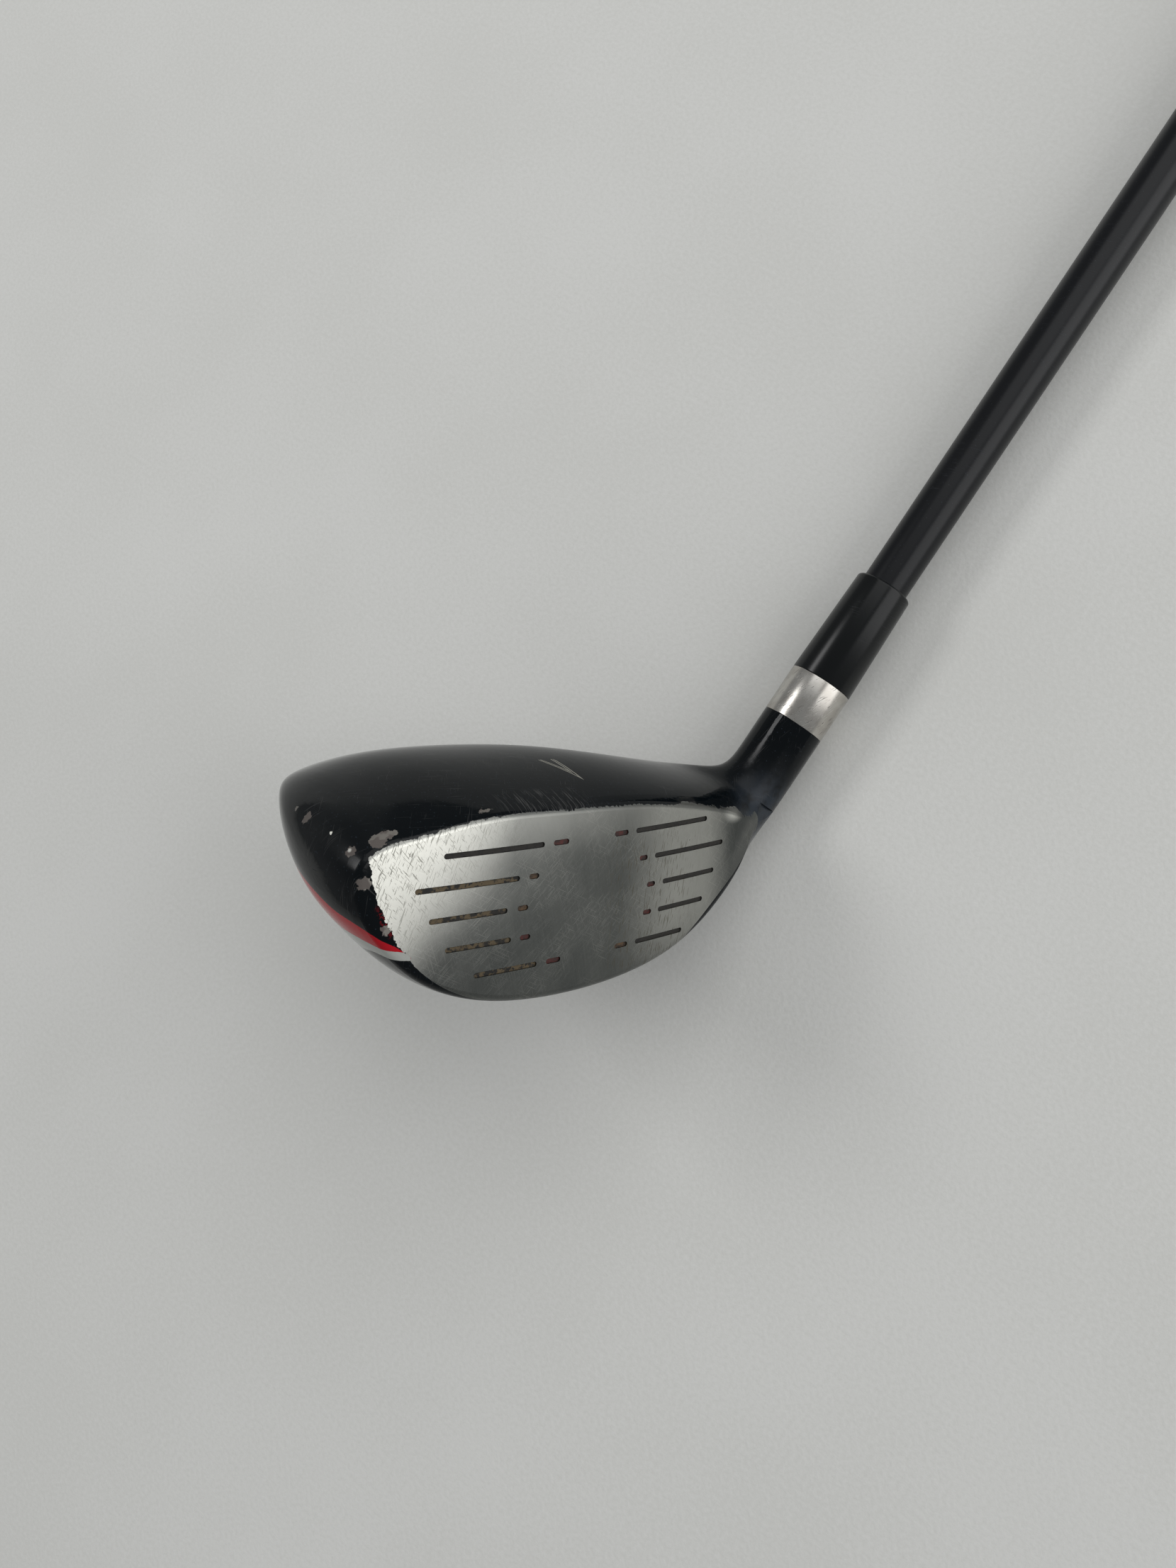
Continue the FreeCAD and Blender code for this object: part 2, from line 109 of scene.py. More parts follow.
class Graph:
    """A material's node tree, built up from numbers and the outputs of earlier nodes."""

    def __init__(self, name):
        self.material = bpy.data.materials.new(name)
        self.material.use_nodes = True
        self.tree = self.material.node_tree
        self.surface = self.tree.nodes["Principled BSDF"]

    def feed(self, socket, value):
        if isinstance(value, bpy.types.NodeSocket):
            self.tree.links.new(value, socket)
        else:
            socket.default_value = value

    def node(self, kind, *inputs, **settings):
        node = self.tree.nodes.new("ShaderNode" + kind)
        for key, value in settings.items():
            setattr(node, key, value)
        for socket, value in zip(node.inputs, inputs):
            if value is not None:
                self.feed(socket, value)
        return node

    def math(self, operation, *values):
        return self.node("Math", *values, operation=operation).outputs[0]

    def add(self, *values):
        total = values[0]
        for value in values[1:]:
            total = self.math("ADD", total, value)
        return total

    def minus(self, a, b):
        return self.math("SUBTRACT", a, b)

    def times(self, *values):
        total = values[0]
        for value in values[1:]:
            total = self.math("MULTIPLY", total, value)
        return total

    def rise(self, value, edge, softness):
        """0 where the value is below the edge and 1 above it."""
        low, high = self.minus(edge, softness), self.add(edge, softness)
        node = self.node("MapRange", value, low, high, interpolation_type="SMOOTHSTEP")
        return node.outputs[0]

    def fall(self, value, edge, softness):
        return self.minus(1.0, self.rise(value, edge, softness))

    def either(self, *masks):
        total = masks[0]
        for mask in masks[1:]:
            total = self.math("MAXIMUM", total, mask)
        return total

    def both(self, *masks):
        return self.times(*masks)

    def mix(self, below, above, mask):
        """Colour that goes from below to above as the mask goes from 0 to 1."""
        node = self.tree.nodes.new("ShaderNodeMix")
        node.data_type = "RGBA"
        self.feed(node.inputs[0], mask)
        for socket, value in ((node.inputs[6], below), (node.inputs[7], above)):
            self.feed(socket, value if isinstance(value, bpy.types.NodeSocket) else (*value, 1.0))
        return node.outputs[2]

    def fade(self, below, above, mask):
        """Number that goes from below to above as the mask goes from 0 to 1."""
        return self.node("Mix", mask, None, below, above).outputs[0]

    def axes(self, origin, turn):
        """Coordinates in millimetres in the frame with this origin and these axes in the row frame."""
        inverse = turn.transposed()
        mapping = self.node("Mapping", self.node("TexCoord").outputs["Object"])
        mapping.inputs["Scale"].default_value = (1 / MM,) * 3
        mapping.inputs["Rotation"].default_value = inverse.to_euler()
        mapping.inputs["Location"].default_value = inverse @ origin * -1 / MM
        return mapping.outputs[0]

    def split(self, vector):
        return self.node("SeparateXYZ", vector).outputs

    def join(self, x, y, z=0.0):
        return self.node("CombineXYZ", x, y, z).outputs[0]

    def stretched(self, vector, scale, turn=0.0):
        """The vector turned about its Z and then scaled."""
        turned = self.node("Mapping", vector)
        turned.inputs["Rotation"].default_value = (0, 0, turn)
        scaled = self.node("Mapping", turned.outputs[0])
        scaled.inputs["Scale"].default_value = scale
        return scaled.outputs[0]

    def distance(self, vector, point):
        return self.node("VectorMath", vector, tuple(point), operation="DISTANCE").outputs["Value"]

    def along(self, vector, point, direction):
        """How far the vector lies beyond the point in a direction."""
        dot = self.node("VectorMath", vector, tuple(direction), operation="DOT_PRODUCT").outputs["Value"]
        return self.minus(dot, Vector(point).dot(direction))

    def noise(self, vector, size, detail=2.0, roughness=0.5):
        """Soft random value, about 0 on average and within half a unit, with features of this size."""
        node = self.node("TexNoise", vector)
        node.inputs["Scale"].default_value = 1 / size
        node.inputs["Detail"].default_value = detail
        node.inputs["Roughness"].default_value = roughness
        return self.minus(node.outputs[0], 0.5)

    def specks(self, vector, spacing, radius, share):
        """1 on small round specks, on this share of the cells of a random grid."""
        cells = self.node("TexVoronoi", vector)
        cells.inputs["Scale"].default_value = 1 / spacing
        chosen = self.rise(self.split(cells.outputs["Color"])[0], 1 - share, 0.01)
        return self.both(chosen, self.fall(cells.outputs["Distance"], radius / spacing, 0.05))

    def scratches(self, vector, turn, length, width, level):
        """1 on thin marks of about this length and width, fewer the higher the level."""
        lines = self.stretched(vector, (1 / length, 1 / width, 0.2), turn)
        return self.rise(self.noise(lines, 1.0, 1.0), level, 0.025)

    def curve(self, value, start, end, heights):
        """Smooth curve of the value, through heights at even steps from start to end."""
        share = self.node("MapRange", value, start, end).outputs[0]
        low, high = min(heights), max(heights)
        node = self.node("FloatCurve", 1.0, share)
        points = node.mapping.curves[0].points
        last = len(heights) - 1
        for i, height in enumerate(heights):
            spot = (i / last, (height - low) / (high - low))
            if i in (0, last):
                points[-1 if i else 0].location = spot
            else:
                points.new(*spot)
        node.mapping.update()
        return self.add(self.times(node.outputs[0], high - low), low)

    def finish(self, colour, roughness, height=None, metallic=0.0, normal=None):
        """Feeds the shader; the height is in millimetres."""
        inputs = self.surface.inputs
        colour = colour if isinstance(colour, bpy.types.NodeSocket) else (*colour, 1.0)
        self.feed(inputs["Base Color"], colour)
        self.feed(inputs["Roughness"], roughness)
        self.feed(inputs["Metallic"], metallic)
        if height is not None:
            bump = self.node("Bump")
            bump.inputs["Distance"].default_value = MM
            self.feed(bump.inputs["Height"], height)
            if normal is not None:
                self.feed(bump.inputs["Normal"], normal)
            self.feed(inputs["Normal"], bump.outputs[0])
        return self.material


# ---------------------------------------------------------------- head finish

PAINT_IOR = 1.28
COLLAR_IOR = 1.36          # ferrule and shaft
PAINT = (0.0014, 0.0028, 0.0040)
FLAKE = (0.03, 0.04, 0.055)
DUST = (0.10, 0.10, 0.10)
RED = (0.42, 0.008, 0.016)
WHITE = (0.40, 0.41, 0.385)
MARK = (0.30, 0.29, 0.25)
PRIMER = (0.115, 0.10, 0.092)
CHIP_STEEL = (0.24, 0.225, 0.205)
# the face's steel in painted shade, over its dark middle and its rounded top edge
SHADED_STEEL = (0.080, 0.085, 0.082)
# steel painted in shade over the relief at the heel
SHADED_FACET_STEEL = (0.055, 0.06, 0.058)
# the face's lit steel; between it and the shaded steel the tone is painted reflection
STEEL = (0.36, 0.36, 0.335)
# bright steel: real wear and gouges, and painted highlight on the toe corner, the top band and the heel's
# glint
WORN_AND_GLINTING_STEEL = (0.97, 0.965, 0.90)
GRIME = (0.10, 0.09, 0.065)
PAINT_ROUGHNESS = 0.07

BARE_TOP_EDGE = 0.22      # how far the bare steel reaches over the edge of the face, at its top
BARE_LOW_EDGE = 1.1       # and lower down
HOSEL_GAP = 0.3           # the bare steel ends this far short of the face's limit at the hosel
RELIEF_END = (43.2, 8.8)  # across and up the face: the upper end of the relief at the heel
RELIEF_WAY_OUT = (0.71, -0.70)    # across and up: the way out of its painted shade, over the lower edge
GLINT_ASPECT = 1.4        # the painted glint on that relief is this many times wider than high
GLINT_CENTRE = (36.2, 14.7, 0.0)  # across, and up times the value above
HEEL_CORNER_CENTRE = (41.7, 6.6)  # across and up the face: the steel's round corner under the hosel
HEEL_CORNER_RADIUS = 3.2
HEEL_LINE_FOOT = 39.16    # across the face, where the steel's straight edge at the heel meets v = 0
HEEL_LINE_TURN = math.radians(37.0)
HEEL_LINE_START = 18.0    # that edge counts only beyond this distance across the face
TOE_RING_CENTRE = (-12.0, 12.0)   # across and up the face: the steel ends on a circle at the toe
TOE_RING_RADIUS = 27.9

# chips in the paint: centre, radius, length over width along X
CHIPS = (
    ((-72.2, -5.5, 29.9), 1.45, 1.0),
    ((-70.2, -5.3, 30.5), 0.95, 1.9),
    ((-75.9, -4.5, 27.8), 0.85, 1.0),
    ((-76.2, 1.4, 28.0), 0.40, 1.0),
    ((-76.6, 8.7, 26.8), 0.80, 1.0),
    ((-76.3, 13.0, 26.4), 0.50, 1.0),
    ((-54.3, -6.5, 33.2), 0.55, 2.4),
    ((-75.1, -8.7, 24.6), 1.05, 1.0),
    ((-71.7, -11.4, 17.6), 0.95, 1.0),
)
CHIP_DEPTH = 0.09
GOUGES = ((-76.2, -4.2, 28.2), (-76.2, 1.4, 28.0))   # bright metal in two of the chips
GOUGE_RADIUS = 0.55

# the stripe round the toe: heights at even steps of the angle about an upright axis in the toe, from
# its tip on the face to its rear end
STRIPE_AXIS = (-66.0, 0.0)
STRIPE_START = math.radians(-82.0)
STRIPE_END = math.radians(84.0)
STRIPE_TOP = (12.9, 15.8, 17.4, 17.6, 18.0, 18.1, 17.9, 17.3, 16.5)
RED_BOTTOM = (12.6, 14.3, 14.2, 13.6, 13.7, 14.2, 15.0, 15.8, 16.4)
STRIPE_BOTTOM = (12.45, 12.6, 10.9, 11.0, 11.6, 12.7, 13.9, 15.1, 16.3)

MARK_CENTRE = (-29.9, 5.6)        # chevron on the crown
MARK_LENGTH = 10.5
MARK_WIDTH = 1.7
MARK_LINE = 0.12
CROWN_ROLL = 0.34         # how far the crown's shading leans towards the face, at the face
CROWN_ROLL_REACH = 50.0   # how far behind the face it ends
TOE_SCUFF = (-75.5, 0.5, 27.8)    # centre of the dulled ridge of the toe
TOE_SCUFF_RADIUS = 8.0
NECK_SCUFF = (12.0, -5.0, 29.0)   # centre of the dulled paint at the foot of the hosel
NECK_SCUFF_RADIUS = 8.0
PAINTED_SHEEN_CENTRE = (12.0, -8.0, 25.0)  # centre of the painted sheen, paler paint between hosel and heel
PAINTED_SHEEN_RADIUS = 7.0


class HeadGraph(Graph):
    """Node tree for the head, with the coordinates and noises that its masks share."""

    def __init__(self, name):
        super().__init__(name)
        self.place = self.axes(ORIGIN, TURN)
        self.x, self.y, self.z = self.split(self.place)
        self.face = self.axes(row_point(FACE_CENTRE), FACE_AXES)
        self.u, self.v, _ = self.split(self.face)
        self.rough = self.noise(self.place, 2.4, 2.0)
        self.fine = self.noise(self.place, 0.55, 3.0)
        behind_bulge = self.minus(FACE_RADIUS, self.distance(self.place, BALL_CENTRE))
        behind_relief = self.times(self.along(self.place, FACET_EDGE, FACET_NORMAL), -1.0)
        self.depth = self.math("MINIMUM", behind_bulge, behind_relief)
        low_v = self.math("MINIMUM", self.v, TOE_RING_CENTRE[1])
        self.from_ring = self.distance(self.join(self.u, low_v), (*TOE_RING_CENTRE, 0))


def steel_wear_and_highlight(g):
    """Masks of the bright toe corner and top band, partly wear and partly painted highlight, of fine
    scratches and of dirty marks.
    """
    face, u, v = g.face, g.u, g.v
    toe_corner = g.fall(g.add(u, g.times(v, -0.9)), -33.0, 13.0)
    top_band = g.both(g.rise(v, 11.0, 5.0), g.fall(u, 4.0, 26.0))
    # the toe corner and the top band: partly wear, partly painted highlight
    worn = g.either(toe_corner, g.both(top_band, 0.25))
    fine = g.either(
        g.scratches(face, 0.5, 5.0, 0.15, 0.15),
        g.scratches(face, -0.7, 4.0, 0.13, 0.155),
        g.scratches(face, 1.25, 6.0, 0.15, 0.16),
        g.scratches(face, 2.3, 3.0, 0.13, 0.165),
    )
    struck = g.both(g.rise(u, 4.0, 3.0), g.fall(u, 24.0, 4.0), g.fall(v, 9.0, 5.0))
    broad_scuffs = g.both(g.scratches(face, 1.75, 2.6, 0.30, 0.125), struck)
    thin_scuffs = g.both(g.either(g.scratches(face, 1.95, 1.8, 0.16, 0.13),
                                  g.scratches(face, 0.9, 1.4, 0.16, 0.16)), toe_corner)
    pits = g.both(g.specks(face, 1.3, 0.12, 0.12), g.either(toe_corner, struck))
    return worn, fine, g.either(broad_scuffs, thin_scuffs, pits)


def painted_steel_reflection(g):
    """Painted reflection: how much lighter than its dark, shaded middle the steel is painted at the heel
    side, the top and the toe.
    """
    u, v = g.u, g.v
    upper = g.rise(v, 0.0, 14.0)
    heel_band = g.both(g.rise(u, 13.0, 9.0), g.fall(u, 32.0, 5.0), g.rise(v, -14.0, 9.0))
    toe_side = g.fall(u, -19.0, 8.0)
    toe_end = g.fall(g.add(u, g.times(v, -0.7)), -31.0, 8.0)
    return g.either(g.both(heel_band, 0.95), g.both(upper, 0.1), g.both(toe_side, upper, 0.7), toe_end)


def steel(g):
    """Brushed and scuffed bare steel, with painted reflection, shade and glints, as (colour, roughness,
    height).
    """
    u, v = g.u, g.v
    cloud = g.noise(g.face, 14.0, 3.0)
    brushed = g.noise(g.stretched(g.face, (0.15, 4.0, 1), 1.35), 1.0, 3.0)
    patch = g.rise(g.noise(g.face, 9.0, 2.0), -0.02, 0.10)
    worn, fine, dirt = steel_wear_and_highlight(g)
    # painted shade over the relief at the heel, and a painted glint on it
    past_relief = g.add(g.times(g.minus(u, RELIEF_END[0]), RELIEF_WAY_OUT[0]),
                        g.times(g.minus(v, RELIEF_END[1]), RELIEF_WAY_OUT[1]))
    relief = g.both(g.rise(u, HEEL_FACET_START - 1.5, 3.0), g.fall(past_relief, -0.5, 1.5))
    glint = g.fall(g.distance(g.join(u, g.times(v, GLINT_ASPECT)), GLINT_CENTRE), 2.0, 2.0)

    # painted reflection, with random clouds and brushing on top, running from the shaded to the lit steel
    tone = g.add(g.both(painted_steel_reflection(g), 0.9), g.times(cloud, 0.35), g.times(brushed, 0.10), 0.08,
                 g.both(fine, patch, 0.22))
    colour = g.mix(SHADED_STEEL, STEEL, g.math("MINIMUM", g.math("MAXIMUM", tone, 0.0), 1.0))
    # bright steel over the toe corner and the top band: partly wear, partly painted highlight
    colour = g.mix(colour, WORN_AND_GLINTING_STEEL, g.either(worn, g.both(fine, worn)))
    # painted shade over the relief
    colour = g.mix(colour, SHADED_FACET_STEEL, g.both(relief, 0.85))
    # painted glint on the relief at the heel
    colour = g.mix(colour, WORN_AND_GLINTING_STEEL, g.both(glint, 0.9))
    colour = g.mix(colour, GRIME, g.both(dirt, 0.55))
    # painted shade over the steel's rounded edge above the middle of the face
    rim = g.both(g.rise(g.depth, 0.05, 0.05), g.rise(v, 2.0, 4.0))
    colour = g.mix(colour, SHADED_STEEL, g.both(rim, 0.6))
    roughness = g.add(0.34, g.times(cloud, 0.12), g.times(brushed, 0.08), g.times(worn, 0.22),
                      g.times(dirt, 0.15))
    height = g.add(g.times(brushed, 0.006), g.times(fine, -0.004), g.times(dirt, -0.004))
    return colour, roughness, height


def on_face(g):
    """Mask of the face up to its ragged edge, which reaches further where the heel side is worn."""
    heel_wear = g.both(g.rise(g.u, 20.0, 2.0), g.fall(g.u, 39.0, 1.0), g.rise(g.v, 5.0, 1.0))
    edge_reach = g.fade(BARE_LOW_EDGE, BARE_TOP_EDGE, g.rise(g.v, 0.0, 4.0))
    reach = g.add(edge_reach, g.times(g.rough, 0.25), g.times(g.fine, 0.5),
                  g.times(heel_wear, g.add(0.5, g.times(g.rough, 2.0))))
    up_hosel = g.along(g.place, (0, 0, 0), SHAFT_DIR)
    return g.both(g.fall(g.depth, reach, 0.04), g.fall(up_hosel, FACE_LIMIT - HOSEL_GAP, 0.15))


def painted_toe(g):
    """Mask of the paint beyond the ragged circle where the steel ends at the toe."""
    ragged = g.both(g.add(g.times(g.rough, 1.5), g.times(g.fine, 1.1)), g.rise(g.v, -7.0, 3.0))
    past_ring = g.rise(g.add(g.from_ring, ragged), TOE_RING_RADIUS, 0.05)
    return g.both(g.fall(g.u, TOE_RING_CENTRE[0], 0.1), past_ring)


def painted_heel(g):
    """Mask of the paint beyond the steel's round corner and straight edge at the heel."""
    high_v = g.math("MAXIMUM", g.v, HEEL_CORNER_CENTRE[1])
    corner = g.distance(g.join(g.u, high_v), (*HEEL_CORNER_CENTRE, 0))
    past_corner = g.both(g.rise(g.u, HEEL_CORNER_CENTRE[0], 0.1),
                         g.rise(corner, HEEL_CORNER_RADIUS, 0.06))
    line = g.add(g.times(g.minus(g.u, HEEL_LINE_FOOT), math.sin(HEEL_LINE_TURN)),
                 g.times(g.v, -math.cos(HEEL_LINE_TURN)))
    past_line = g.both(g.rise(g.u, HEEL_LINE_START, 0.1), g.rise(line, 0.0, 0.06))
    return g.either(past_corner, past_line)


def toe_stripe(g):
    """Masks of the stripe's red and white bands."""
    edge = g.add(g.z, g.times(g.fine, 0.12))
    angle = g.math("ARCTAN2", g.minus(g.y, STRIPE_AXIS[1]), g.minus(STRIPE_AXIS[0], g.x))
    top, middle, bottom = (g.curve(angle, STRIPE_START, STRIPE_END, heights)
                           for heights in (STRIPE_TOP, RED_BOTTOM, STRIPE_BOTTOM))
    near_toe = g.both(g.rise(angle, STRIPE_START, 0.005), g.fall(angle, STRIPE_END, 0.005))
    whole = g.both(near_toe, g.fall(edge, top, 0.05), g.rise(edge, bottom, 0.05))
    red = g.both(whole, g.rise(edge, middle, 0.05))
    return red, g.minus(whole, red)


def crown_mark(g):
    """Mask of the outlined chevron on the crown."""
    across = g.math("ABSOLUTE", g.minus(g.x, MARK_CENTRE[0]))
    slope = MARK_LENGTH / MARK_WIDTH
    lines = []
    for start in (MARK_CENTRE[1] - MARK_LENGTH / 2, MARK_CENTRE[1] - MARK_LENGTH / 5):
        off = g.math("ABSOLUTE", g.minus(g.minus(g.y, start), g.times(across, slope)))
        lines.append(g.fall(off, MARK_LINE * slope, 0.2))
    extent = g.both(g.fall(across, MARK_WIDTH, 0.05), g.fall(g.y, MARK_CENTRE[1] + MARK_LENGTH / 2, 0.05))
    return g.both(g.either(*lines), extent, g.rise(g.z, 25.0, 0.5))


def chips(g):
    """Mask of the chips in the paint."""
    total = 0.0
    for centre, radius, stretch in CHIPS:
        near = g.stretched(g.place, (1 / stretch, 1, 1))
        middle = (centre[0] / stretch, centre[1], centre[2])
        reach = g.add(g.distance(near, middle), g.times(g.rough, 1.9), g.times(g.fine, 1.3))
        total = g.either(total, g.fall(reach, radius, 0.05))
    return total


def paint_scuffs(g):
    """Masks of the fine scuffs all over the paint and of the scratches across the top of the face."""
    everywhere = g.both(g.rise(g.noise(g.place, 6.0), 0.02, 0.1),
                        g.either(g.scratches(g.place, 0.4, 7.0, 0.12, 0.20),
                                 g.scratches(g.place, -1.0, 5.0, 0.12, 0.21)))
    over_edge = g.both(g.scratches(g.face, 1.9, 2.6, 0.2, 0.10), g.fall(g.depth, 5.5, 1.5),
                       g.fall(g.math("ABSOLUTE", g.add(g.u, 8.0)), 8.0, 3.0), g.rise(g.v, 12.0, 1.0))
    return everywhere, over_edge


def red_rub(g, face_area, toe_paint):
    """Mask of the red rubbed along the edge of the steel at the toe, above the stripe."""
    off_ring = g.math("ABSOLUTE", g.minus(g.from_ring, TOE_RING_RADIUS + 0.2))
    return g.both(g.fall(off_ring, 0.45, 0.2), toe_paint, g.rise(g.fine, 0.04, 0.02), face_area,
                  g.rise(g.v, -1.5, 0.5), g.fall(g.v, 3.0, 1.0))


def paint_colour(g, red, white, scuffed, over_edge):
    """Colour of the paint with its flakes, dust, scuffs and stripe, and a painted sheen at the hosel's foot.
    """
    sparkle = g.either(g.both(g.specks(g.place, 0.42, 0.12, 0.14), 0.35),
                       g.both(g.specks(g.place, 0.9, 0.10, 0.03), 0.5))
    dust = g.both(g.specks(g.place, 4.0, 0.08, 0.08), 0.35)
    # painted sheen: paler, flaky paint at the hosel's foot
    painted_sheen = g.both(g.fall(g.distance(g.place, PAINTED_SHEEN_CENTRE), PAINTED_SHEEN_RADIUS, 4.0), g.rise(g.rough, -0.1, 0.2))
    colour = g.mix(PAINT, FLAKE, g.either(sparkle, g.both(painted_sheen, 0.6)))
    colour = g.mix(colour, DUST, g.either(g.both(scuffed, 0.25), g.both(over_edge, 0.6), dust))
    return g.mix(g.mix(colour, RED, red), WHITE, white)


def leaning_normal(g, bare):
    """Shading normal that leans towards the face on the crown, most of all next to the face."""
    nearness = g.math("MAXIMUM", g.minus(1.0, g.times(g.depth, 1 / CROWN_ROLL_REACH)), 0.0)
    on_crown = g.both(g.rise(g.x, -73.0, 4.0), g.fall(g.x, -10.0, 20.0), g.rise(g.z, 26.0, 2.5),
                      g.minus(1.0, bare))
    forward = g.node("VectorMath", tuple(TURN @ Vector((0, -1, 0))), operation="SCALE")
    g.feed(forward.inputs["Scale"], g.times(g.math("MINIMUM", nearness, 1.0), CROWN_ROLL, on_crown))
    leaning = g.node("VectorMath", g.node("TexCoord").outputs["Normal"], forward.outputs[0], operation="ADD")
    return g.node("VectorMath", leaning.outputs[0], operation="NORMALIZE").outputs[0]


def head_finish(name):
    """Black gloss paint with its stripe, mark, chips and dust, and the bare steel of the face."""
    g = HeadGraph(name)
    red, white = toe_stripe(g)
    face_area, toe_paint = on_face(g), painted_toe(g)
    bare = g.both(face_area, g.minus(1.0, g.either(toe_paint, painted_heel(g), red, white)))
    chipped = g.both(chips(g), g.minus(1.0, bare))
    to_steel = g.rise(g.rough, 0.04, 0.03)
    gouge_spots = (g.fall(g.distance(g.place, spot), GOUGE_RADIUS, 0.15) for spot in GOUGES)
    gouged = g.both(chipped, g.either(*gouge_spots))
    mark = crown_mark(g)
    scuffed, over_edge = paint_scuffs(g)
    steel_colour, steel_roughness, steel_height = steel(g)

    red = g.either(red, g.both(red_rub(g, face_area, toe_paint), 0.25))
    paint = paint_colour(g, red, white, scuffed, over_edge)
    paint = g.mix(paint, MARK, g.both(mark, 0.85))
    paint = g.mix(paint, g.mix(PRIMER, CHIP_STEEL, to_steel), chipped)
    paint = g.mix(paint, WORN_AND_GLINTING_STEEL, gouged)
    colour = g.mix(paint, steel_colour, bare)

    toe_scuff = g.both(g.fall(g.distance(g.place, TOE_SCUFF), TOE_SCUFF_RADIUS, 3.0), g.rise(g.z, 25.5, 1.5))
    neck_scuff = g.fall(g.distance(g.place, NECK_SCUFF), NECK_SCUFF_RADIUS, 5.0)
    paint_roughness = g.add(PAINT_ROUGHNESS, g.times(g.either(toe_scuff, neck_scuff), 0.25),
                            g.times(scuffed, 0.12), g.times(mark, 0.2), g.times(chipped, 0.38),
                            g.times(over_edge, 0.25))
    roughness = g.fade(paint_roughness, steel_roughness, bare)
    height = g.add(g.times(chipped, -CHIP_DEPTH), g.times(g.noise(g.place, 3.0, 1.0), 0.012),
                   g.times(scuffed, -0.003), g.times(bare, -0.03), g.times(bare, steel_height))
    metallic = g.either(bare, gouged, g.both(chipped, to_steel), g.both(over_edge, 0.6))
    g.surface.inputs["IOR"].default_value = PAINT_IOR
    return g.finish(colour, roughness, height, metallic, leaning_normal(g, bare))


# ---------------------------------------------------------------- other materials

def shaft_frame(g):
    """The club's coordinates in millimetres, the distance along its shaft and the angle about it."""
    club = g.axes(ORIGIN, LEVEL)
    along, across, up = g.split(club)
    return club, along, g.math("ARCTAN2", across, up)


def ring_steel():
    g = Graph("ring_steel")
    club, along, turn = shaft_frame(g)
    lines = g.noise(g.join(g.times(along, 6.0), 0.0), 1.0, 3.0)
    marks = g.scratches(g.join(along, g.times(turn, HOSEL_OD / 2)), 0.5, 2.4, 0.16, 0.17)
    blotch = g.noise(club, 4.0)
    colour = g.mix((0.58, 0.565, 0.53), (0.46, 0.435, 0.40), g.rise(blotch, 0.0, 0.2))
    colour = g.mix(colour, (0.05, 0.045, 0.04), g.both(marks, 0.7))
    roughness = g.add(0.25, g.times(lines, 0.12), g.times(marks, 0.2))
    height = g.add(g.times(lines, 0.0015), g.times(marks, -0.01))
    return g.finish(colour, roughness, height, 1.0)


def gloss_black(name, tint, spread, flakes):
    """Gloss black plastic or paint with faint waves, dust and rubbed lines."""
    g = Graph(name)
    club, along, turn = shaft_frame(g)
    skin = g.join(along, g.times(turn, HOSEL_OD / 2))
    rubbed = g.both(g.scratches(skin, 1.4, 5.0, 0.14, 0.19), g.rise(g.noise(club, 12.0), 0.0, 0.1))
    dust = g.specks(club, 3.0, 0.11, 0.14)
    sparkle = g.both(g.specks(club, 0.5, 0.1, 0.2), flakes)
    colour = g.mix(tint, (0.05, 0.06, 0.075), g.either(g.both(rubbed, 0.25), g.both(dust, 0.8), sparkle))
    roughness = g.add(spread, g.times(rubbed, 0.12), g.times(dust, 0.4))
    height = g.add(g.times(g.noise(club, 9.0, 1.0), 0.008), g.times(dust, 0.01), g.times(rubbed, -0.003))
    g.surface.inputs["IOR"].default_value = COLLAR_IOR
    return g.finish(colour, roughness, height)


def rubber(name):
    """Matt moulded rubber, a little shiny where hands have worn it."""
    g = Graph(name)
    club, _, _ = shaft_frame(g)
    grain = g.noise(club, 0.35, 2.0)
    worn = g.rise(g.noise(club, 30.0), 0.0, 0.15)
    grey = g.both(g.rise(g.noise(club, 3.0, 3.0), 0.08, 0.08), 0.5)
    colour = g.mix((0.014, 0.014, 0.015), (0.035, 0.034, 0.033), grey)
    roughness = g.add(0.72, g.times(worn, -0.18), g.times(grain, 0.2))
    return g.finish(colour, roughness, g.times(grain, 0.05))


def grainy(name, colour, other, size, roughness, metallic=0.0, depth=0.03):
    """Two mottled colours with a fine grain, for fills, glue, foam and castings."""
    g = Graph(name)
    place = g.axes(ORIGIN, TURN)
    mottle = g.rise(g.noise(place, size, 3.0), 0.0, 0.15)
    grain = g.noise(place, size / 5, 2.0)
    spread = g.add(roughness, g.times(grain, 0.2))
    return g.finish(g.mix(colour, other, mottle), spread, g.times(grain, depth), metallic)


def groove_fill():
    """Dark fill of the long score lines, with tan dirt left in those on the toe side."""
    g = Graph("fill_dark")
    face = g.axes(row_point(FACE_CENTRE), FACE_AXES)
    u, v, _ = g.split(face)
    dirt = g.both(g.fall(u, -9.0, 2.0), g.fall(v, 7.5, 2.0), g.rise(g.noise(face, 1.3, 3.0), -0.03, 0.06))
    colour = g.mix((0.016, 0.014, 0.011), (0.11, 0.08, 0.042), dirt)
    colour = g.mix(colour, (0.01, 0.009, 0.008), g.rise(g.noise(face, 0.8), 0.08, 0.04))
    return g.finish(colour, 0.7, g.times(g.noise(face, 0.5, 2.0), 0.08))


def woven_tape():
    g = Graph("tape")
    _, along, turn = shaft_frame(g)
    threads = g.times(g.math("SINE", g.times(along, 8.0)), g.math("SINE", g.times(turn, 60.0)))
    colour = g.mix((0.70, 0.66, 0.54), (0.55, 0.51, 0.41), g.rise(threads, 0.0, 0.5))
    return g.finish(colour, 0.8, g.times(threads, 0.03))


# ---------------------------------------------------------------- turned pieces

